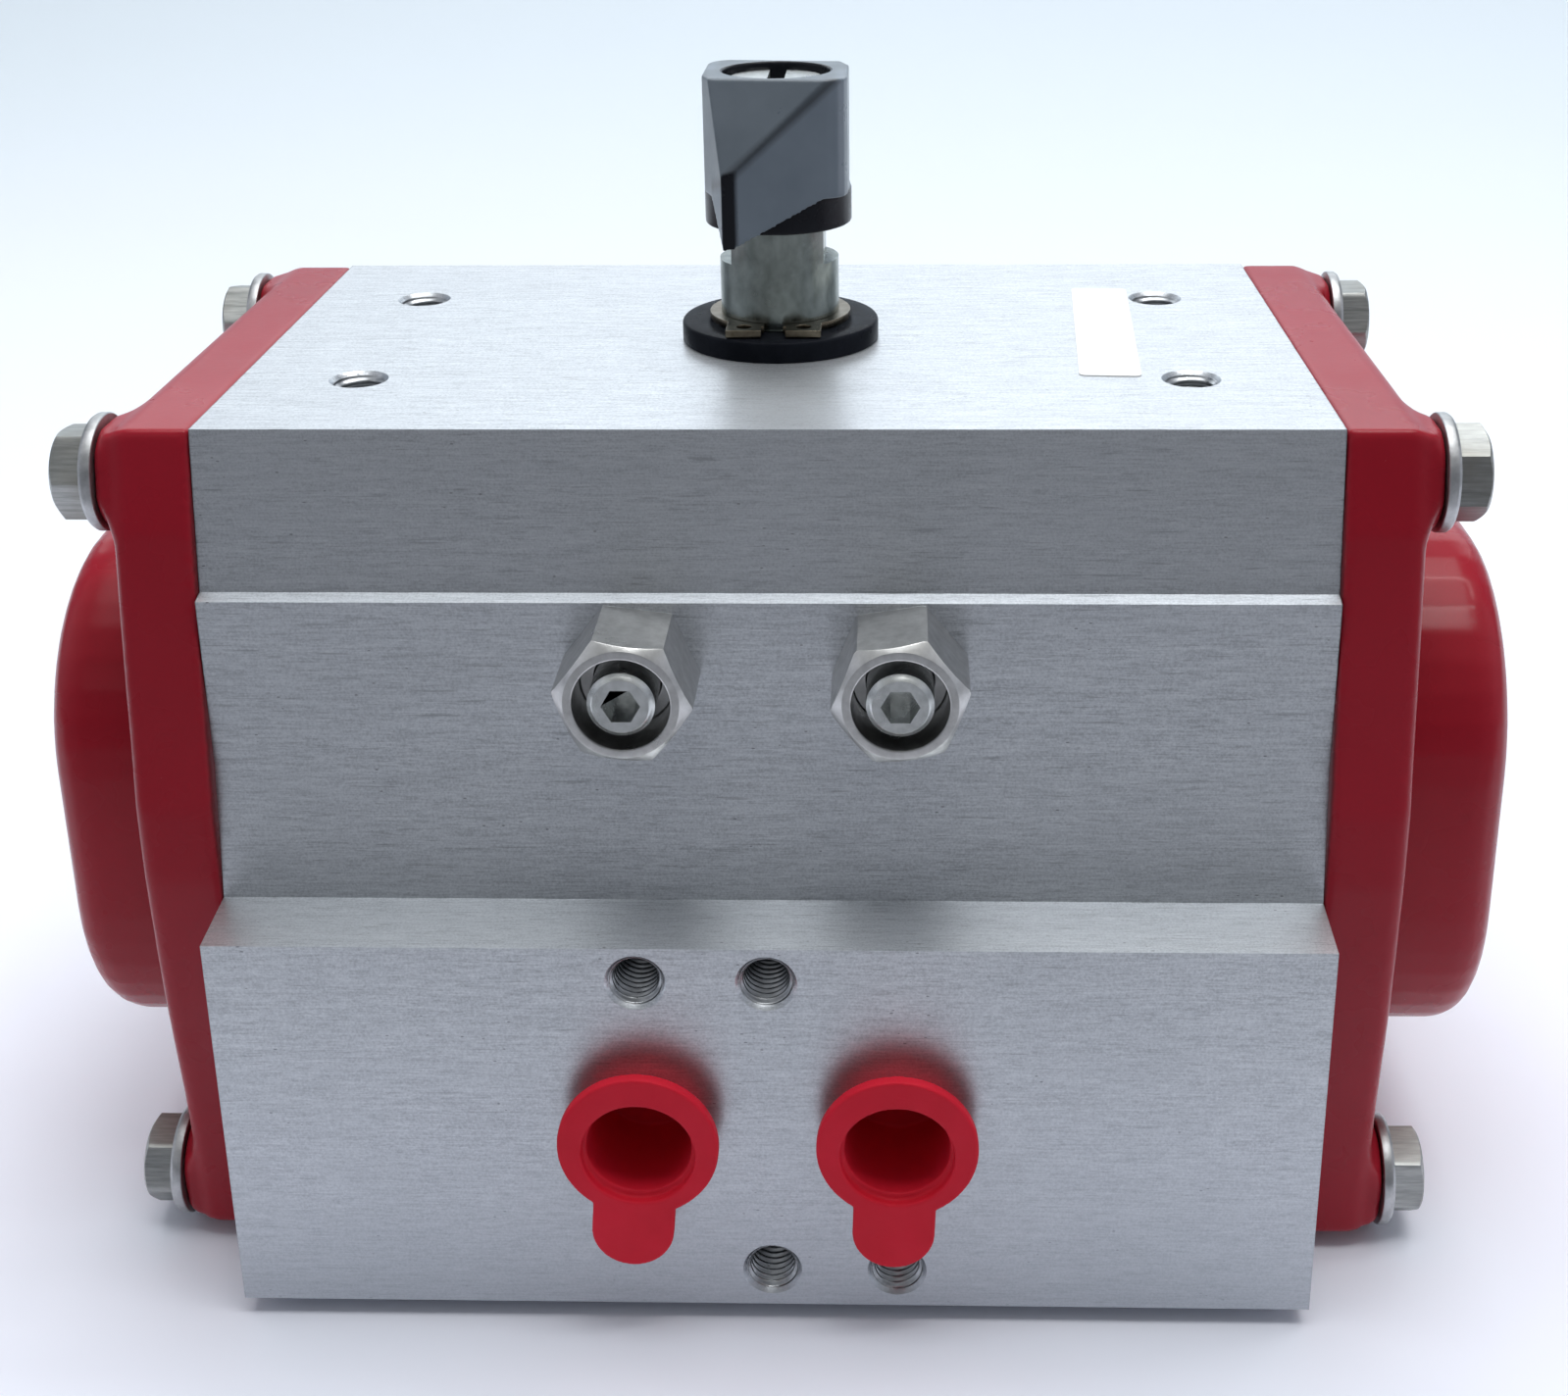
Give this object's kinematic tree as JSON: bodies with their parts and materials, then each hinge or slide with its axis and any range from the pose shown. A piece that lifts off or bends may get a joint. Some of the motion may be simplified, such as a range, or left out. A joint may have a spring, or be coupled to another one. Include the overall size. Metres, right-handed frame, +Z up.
{
  "type": "rotary pneumatic actuator",
  "caption": "Rack-and-pinion quarter-turn pneumatic actuator with brushed extruded housing, domed red end caps, adjustable travel stops, valve interface pad and arrow position indicator.",
  "frame": {"origin": "where the shaft axis crosses the housing's mounting face", "axes": "+X along the cylinder towards the right end cap, +Z up along the shaft towards the position indicator, -Y out of the interface pad with the ports"},
  "size_m": [0.142, 0.0833, 0.1143],
  "materials": {
    "brushed_aluminium": "brushed along the length, clear anodised",
    "red_enamel": "gloss powder coat on die-cast aluminium",
    "nitrile_rubber": "moulded, greased",
    "stainless_steel": "cold formed, plain",
    "nickel_plated_steel": "turned, nickel plated",
    "bearing_plastic": "moulded, natural white",
    "black_plastic": "satin black",
    "yellow_zinc_steel": "stamped, yellow passivated zinc",
    "gloss_black_plastic": "moulded, glossy",
    "zinc_plated_steel": "bright zinc plated",
    "cast_aluminium": "die cast, machined on the running faces",
    "turned_stainless": "turned from hexagon bar",
    "red_plastic": "soft matte polyethylene",
    "label_film": "blank white film",
    "turned_aluminium": "turned"
  },
  "bodies": {
    "housing": {"body_housing": "brushed_aluminium", "end_cap_left": "red_enamel", "end_cap_right": "red_enamel", "cap_seal_left": "nitrile_rubber", "cap_seal_right": "nitrile_rubber", "channel_seals": "nitrile_rubber", "cap_bolts_left": "stainless_steel", "cap_bolts_right": "stainless_steel", "cap_washers_left": "stainless_steel", "cap_washers_right": "stainless_steel", "upper_shaft_bush": "bearing_plastic", "lower_shaft_bush": "bearing_plastic", "inner_thrust_washer": "bearing_plastic", "top_thrust_washer": "black_plastic", "stop_seals": "nitrile_rubber", "serial_label": "label_film", "centring_ring": "turned_aluminium"},
    "shaft": {"pinion_shaft": "nickel_plated_steel", "upper_shaft_seal": "nitrile_rubber", "lower_shaft_seal": "nitrile_rubber", "snap_ring": "yellow_zinc_steel", "position_indicator": "gloss_black_plastic", "indicator_screw": "zinc_plated_steel"},
    "piston_l": {"piston_left": "cast_aluminium", "piston_seal_left": "nitrile_rubber", "piston_guide_ring_left": "bearing_plastic", "rack_pad_left": "bearing_plastic"},
    "piston_r": {"piston_right": "cast_aluminium", "piston_seal_right": "nitrile_rubber", "piston_guide_ring_right": "bearing_plastic", "rack_pad_right": "bearing_plastic"},
    "stop_screw_l": {"stop_screw_left": "zinc_plated_steel"},
    "stop_screw_r": {"stop_screw_right": "zinc_plated_steel"},
    "stop_nut_l": {"stop_nut_left": "turned_stainless"},
    "stop_nut_r": {"stop_nut_right": "turned_stainless"},
    "plug_l": {"port_plug_left": "red_plastic"},
    "plug_r": {"port_plug_right": "red_plastic"}
  },
  "joints": [
    {"name": "shaft_turn", "type": "hinge", "parent": "housing", "child": "shaft", "pos_m": [0, 0, 0], "axis": [0, 0, 1], "range_deg": [0, 90]},
    {"name": "piston_left_slide", "type": "slide", "parent": "housing", "child": "piston_l", "axis": [-1, 0, 0], "range_m": [0, 0.0157]},
    {"name": "piston_right_slide", "type": "slide", "parent": "housing", "child": "piston_r", "axis": [1, 0, 0], "range_m": [0, 0.01571]},
    {"name": "stop_left_adjust", "type": "slide", "parent": "housing", "child": "stop_screw_l", "axis": [0, -1, 0], "range_m": [0, 0.003]},
    {"name": "stop_right_adjust", "type": "slide", "parent": "housing", "child": "stop_screw_r", "axis": [0, -1, 0], "range_m": [0, 0.003]},
    {"name": "nut_left_turn", "type": "hinge", "parent": "housing", "child": "stop_nut_l", "pos_m": [-0.0122, -0.038, 0.0638], "axis": [0, -1, 0], "continuous": true},
    {"name": "nut_right_turn", "type": "hinge", "parent": "housing", "child": "stop_nut_r", "pos_m": [0.0122, -0.038, 0.0638], "axis": [0, -1, 0], "continuous": true},
    {"name": "plug_left_pull", "type": "slide", "parent": "housing", "child": "plug_l", "axis": [0, -1, 0], "range_m": [0, 0.015]},
    {"name": "plug_right_pull", "type": "slide", "parent": "housing", "child": "plug_r", "axis": [0, -1, 0], "range_m": [0, 0.015]}
  ],
  "couplings": [
    {"joint": "shaft_turn", "follows": "piston_left_slide", "rad_per_m": 100},
    {"joint": "piston_right_slide", "follows": "piston_left_slide", "ratio": 1}
  ]
}
